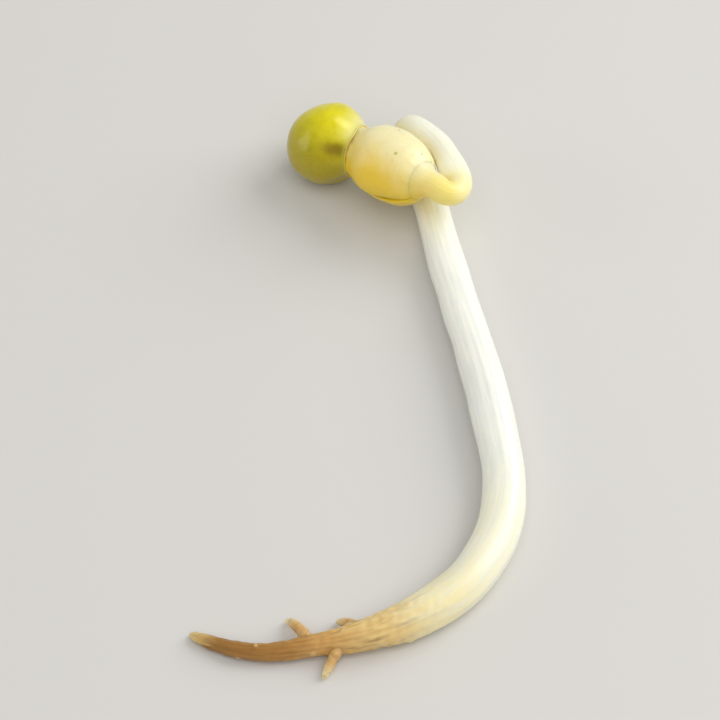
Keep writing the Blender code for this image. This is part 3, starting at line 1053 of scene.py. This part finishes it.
DENT_LENGTH = 0.62
DENT_WIDTH = 0.42

# Slackness of the skin: height and size in millimetres and seed, and the radius from which it is full
SLACK_WAVES = (0.018, 2.4, 51)
SLACK_DIMPLES = (0.004, 0.6, 52)
SLACK_FROM = 0.8


def coat_rim(around):
    """Where the torn edge lies along s: a sum of waves round the mouth, with one short split."""
    waves = sum(height * np.sin(count * around + start) for count, height, start in RIM_WAVES)
    return COAT_RIM + waves + SPLIT_DEPTH * bell(turned_from(around, SPLIT_AT), SPLIT_HALF_ANGLE)


# %% Outer face, inner face and the scar
def coat_surface():
    """The polar angle runs from 0 at the round end to the rim's, arccos((rim - middle) / half length), then
    back. Radius = coat radius times sin polar to the power of the fullness, drawn in at the mouth until its
    inside just meets the seed leaves. The inner face is smaller by the skin's thickness, and the rim is a
    half circle of that thickness."""
    out = 1 - (1 - np.linspace(0, 1, COAT_RINGS)) ** 2
    share = np.concatenate([out, out[-2::-1]])[:, None]
    inner = np.concatenate([np.zeros(COAT_RINGS), np.ones(COAT_RINGS - 1)])[:, None]
    around = np.linspace(0, 2 * np.pi, COAT_SIDES, endpoint=False)[None, :]
    last = np.arccos((coat_rim(around) - COAT_AT) / COAT_HALF_LENGTH)
    polar = share * last
    torn = (1 - share) * last * COAT_HALF_LENGTH
    edge = np.clip(torn / (COAT_SKIN / 2), 0, 1)
    half_skin = COAT_SKIN / 2 * np.sqrt(1 - (1 - edge) ** 2)
    inward = COAT_SKIN / 2 + half_skin * (2 * inner - 1)
    ball = COAT_RADIUS * np.sin(polar) ** COAT_FULLNESS
    s = COAT_AT + (COAT_HALF_LENGTH - inward * (share < 0.5)) * np.cos(polar)
    mouth = smoothstep((share - MOUTH_FROM) / (1 - MOUTH_FROM))
    radius = ball + (leaf_radius(s) + MOUTH_GAP + COAT_SKIN - ball) * mouth
    radius = radius + LIP_CURL * smoothstep((share - LIP_FROM) / (1 - LIP_FROM))
    along_scar = (s - SCAR_AT) / SCAR_HALF_LENGTH
    across_scar = turned_from(around, SCAR_AROUND) * radius / SCAR_HALF_WIDTH
    scar = (1 - smoothstep((along_scar**2 + across_scar**2 - SCAR_FLAT) / SCAR_EDGE)) * (1 - inner)
    groove = bell(across_scar, GROOVE_WIDTH) * scar
    dent = bell(s - DENT_AT, DENT_LENGTH) * bell(turned_from(around, DENT_AROUND) * radius, DENT_WIDTH)
    turn = around + 0 * radius
    skin = np.stack([s, radius * np.cos(turn), radius * np.sin(turn)], axis=-1)
    slack = uneven(skin, *SLACK_WAVES) + uneven(skin, *SLACK_DIMPLES)
    slack = slack * smoothstep(radius / SLACK_FROM) * (1 - mouth) - DENT_DEPTH * dent
    total = np.maximum(radius - inward + slack + SCAR_HEIGHT * scar - GROOVE_DEPTH * groove, 0)
    points = np.stack([s, total * np.cos(turn) + bean_bend(s), total * np.sin(turn)], axis=-1)
    points[0] = points[0].mean(axis=0)
    points[-1] = points[-1].mean(axis=0)
    return points, torn, inner + 0 * radius, scar - 0.5 * groove, dent


# %% [markdown]
# ## Colour of the coat
#
# The skin is a yellow-green, painted lighter on its lit side and olive on its shaded side as painted light
# and shade. A painted highlight makes it paler near its mouth on the lit side, and painted shade browns the
# dent. It has a net of fine cells just visible in the gloss, a bleached torn edge and a pale lining. Its
# gloss is the strongest on the plant, so its relief is kept shallow and its roughness low. The gloss is
# tinted, because part of that light has been just under the skin.

# %% Coat material
# Lit and shaded copies of the skin's colour, for painted light and shade.
COAT_LIT = (0.74, 0.66, 0.003)
COAT_SHADED = (0.42, 0.33, 0.001)
COAT_CLOUDS = (0.38, 0.33, 0.002)
COAT_MOTTLE = (0.3, 0.24, 0.004)
COAT_NET = (0.62, 0.56, 0.05)
# Painted highlight near the mouth on the lit side.
COAT_PAINTED_HIGHLIGHT = (0.9, 0.87, 0.34)
# Painted shade in the dent.
COAT_DENT_SHADE = (0.2, 0.12, 0.001)
COAT_FRAYED = (0.66, 0.55, 0.1)
COAT_SCAR = (0.8, 0.72, 0.46)
COAT_LINING = (0.56, 0.5, 0.17)


def coat_finish():
    finish = Finish(
        "seed_coat_skin",
        Subsurface_Weight=0.08,
        Subsurface_Radius=(0.6, 0.8, 0.1),
        Subsurface_Scale=0.3 * MM,
        Specular_IOR_Level=0.65,
        Specular_Tint=(1.0, 1.0, 0.5, 1.0),
        Coat_Weight=0.3,
        Coat_Roughness=0.15,
        IOR=1.45,
    )
    place = finish.attribute("head", "Vector")
    lit_side = finish.attribute("bleached")
    torn = finish.attribute("torn")
    lining = finish.attribute("lining")
    scar = finish.attribute("scar")
    dent = finish.attribute("dent")
    clouds = finish.noise(place, 0.5, 3.0)
    mottle = finish.noise(place, 2.6, 5.0, 0.65)
    net = finish.cells(place, 7.0)
    # Painted light and shade: yellow-green on the lit side, olive on the shaded side.
    low = 1 - finish.clamped(lit_side + (clouds - 0.5) * 1.4, -0.9, 1.5)
    colour = finish.mix(low, COAT_LIT, COAT_SHADED)
    colour = finish.mix(finish.clamped(clouds, 0.48, 0.75) * 0.5, colour, COAT_CLOUDS)
    colour = finish.mix(finish.clamped(mottle, 0.45, 0.75) * 0.2, colour, COAT_MOTTLE)
    colour = finish.mix(finish.clamped(net, 0.35, 0.7) * 0.1, colour, COAT_NET)
    # Painted highlight: the skin near the mouth is painted paler on the lit side.
    near_mouth = 1 - finish.clamped(torn + (mottle - 0.5) * 0.5, 0.2, 1.5)
    stretched = near_mouth * finish.clamped(lit_side, 0.5, 1.5)
    colour = finish.mix(stretched * 0.75, colour, COAT_PAINTED_HIGHLIGHT)
    # Painted shade: the dent is darkened to brown.
    dent_shade = finish.clamped(dent + (mottle - 0.5) * 0.4 + (clouds - 0.5) * 0.6, 0.0, 1.1)
    colour = finish.mix(dent_shade * 0.8, colour, COAT_DENT_SHADE)
    frayed = 1 - finish.clamped(torn + (mottle - 0.5) * 0.12, 0.02, 0.22)
    colour = finish.mix(frayed * 0.75, colour, COAT_FRAYED)
    colour = finish.mix(scar, colour, COAT_SCAR)
    colour = finish.mix(lining * 0.85, colour, COAT_LINING)
    relief = clouds * 0.5 + mottle * 0.12 + net * 0.06
    return finish.surface(colour, 0.24 + mottle * 0.1 + scar * 0.25 + lining * 0.2, relief, 0.007)


coat_points, torn, lining, scar, dent = coat_surface()
coat_own = from_head(coat_points)
coat_own[..., 2] = np.maximum(coat_own[..., 2], 0.0)
coat_mesh = closed_skin(
    "seed_coat_skin",
    coat_own + PLACE,
    head=coat_points,
    bleached=bleached(coat_own, COAT_AT),
    torn=torn,
    lining=lining,
    scar=scar,
    dent=dent,
)
add_piece(coat_mesh, coat_finish(), "seed_coat", "seed_coat")

# %% [markdown]
# ## Floor, light and camera
#
# The stage is plain: a pale floor, a soft light behind on the right that draws the broad highlights, a large
# one overhead, a weak one low on the left, and an even sky that keeps the shadows open. The overhead light is
# left out of reflections, because as a mirror image it would wash out the coat's gloss. The camera looks down
# on the sprout from far off with a long lens, so that the near root isn't enlarged. The plain view transform
# keeps the yellows and greens as strong as they are set.

# %% Floor
FLOOR_HALF = 400 * MM
FLOOR_DROP = 0.02 * MM
FLOOR_COLOUR = (0.66, 0.65, 0.63, 1.0)

floor_mesh = bpy.data.meshes.new("floor")
floor_signs = ((-1, -1), (1, -1), (1, 1), (-1, 1))
floor_corners = [(x * FLOOR_HALF, y * FLOOR_HALF, -FLOOR_DROP) for x, y in floor_signs]
floor_mesh.from_pydata(floor_corners, [], [(0, 1, 2, 3)])
floor = bpy.data.objects.new("floor", floor_mesh)
bpy.context.scene.collection.objects.link(floor)
floor_finish = Finish("pale_floor", Base_Color=FLOOR_COLOUR, Roughness=0.7)
floor_mesh.materials.append(floor_finish.material)

# %% Lights
MIDDLE = (SOLID_LOW + SOLID_HIGH) / 2
LIGHT_COLOUR = (1.0, 0.99, 0.97)
SKY_STRENGTH = 0.4


def soft_light(name, azimuth, elevation, distance, size, power, glossy=True):
    """A square light that looks at the sprout's middle. Azimuth 0 is in front and 90 to the right. Where
    glossy is off, the light is left out of reflections."""
    light = bpy.data.lights.new(name, "AREA")
    light.size = size
    light.energy = power
    light.color = LIGHT_COLOUR
    holder = bpy.data.objects.new(name, light)
    holder.visible_glossy = glossy
    bpy.context.scene.collection.objects.link(holder)
    turn, rise = math.radians(azimuth), math.radians(elevation)
    back = Vector((math.sin(turn) * math.cos(rise), -math.cos(turn) * math.cos(rise), math.sin(rise)))
    holder.location = MIDDLE + back * distance
    holder.rotation_euler = back.to_track_quat("Z", "Y").to_euler()
    print(f"{name}: {power} W from {azimuth} degrees round and {elevation} up")


soft_light("key", 114, 36, 0.3, 0.25, 0.62)
soft_light("top", 10, 62, 0.5, 0.5, 1.1, glossy=False)
soft_light("fill", -90, 14, 0.3, 0.16, 0.12)

world = bpy.data.worlds.new("studio")
bpy.context.scene.world = world
world.use_nodes = True
sky = world.node_tree.nodes["Background"]
sky.inputs["Color"].default_value = (*LIGHT_COLOUR, 1.0)
sky.inputs["Strength"].default_value = SKY_STRENGTH
bpy.context.scene.view_settings.view_transform = "Standard"

# %% Camera
CAMERA_ELEVATION = math.radians(52)
CAMERA_LENS = 150
SENSOR = 36
VIEW_SHARE = 0.84

camera = bpy.data.cameras.new("camera")
camera.lens = CAMERA_LENS
camera.sensor_width = SENSOR
camera.clip_start = 0.01
holder = bpy.data.objects.new("camera", camera)
bpy.context.scene.collection.objects.link(holder)
back = Vector((0, -math.cos(CAMERA_ELEVATION), math.sin(CAMERA_ELEVATION)))
sides = SOLID_HIGH - SOLID_LOW
seen_height = sides.y * math.sin(CAMERA_ELEVATION) + sides.z * math.cos(CAMERA_ELEVATION)
distance = seen_height / VIEW_SHARE * CAMERA_LENS / SENSOR
holder.location = MIDDLE + back * distance
holder.rotation_euler = back.to_track_quat("Z", "Y").to_euler()
bpy.context.scene.camera = holder
print(f"the camera is {distance / MM:.0f} mm away")
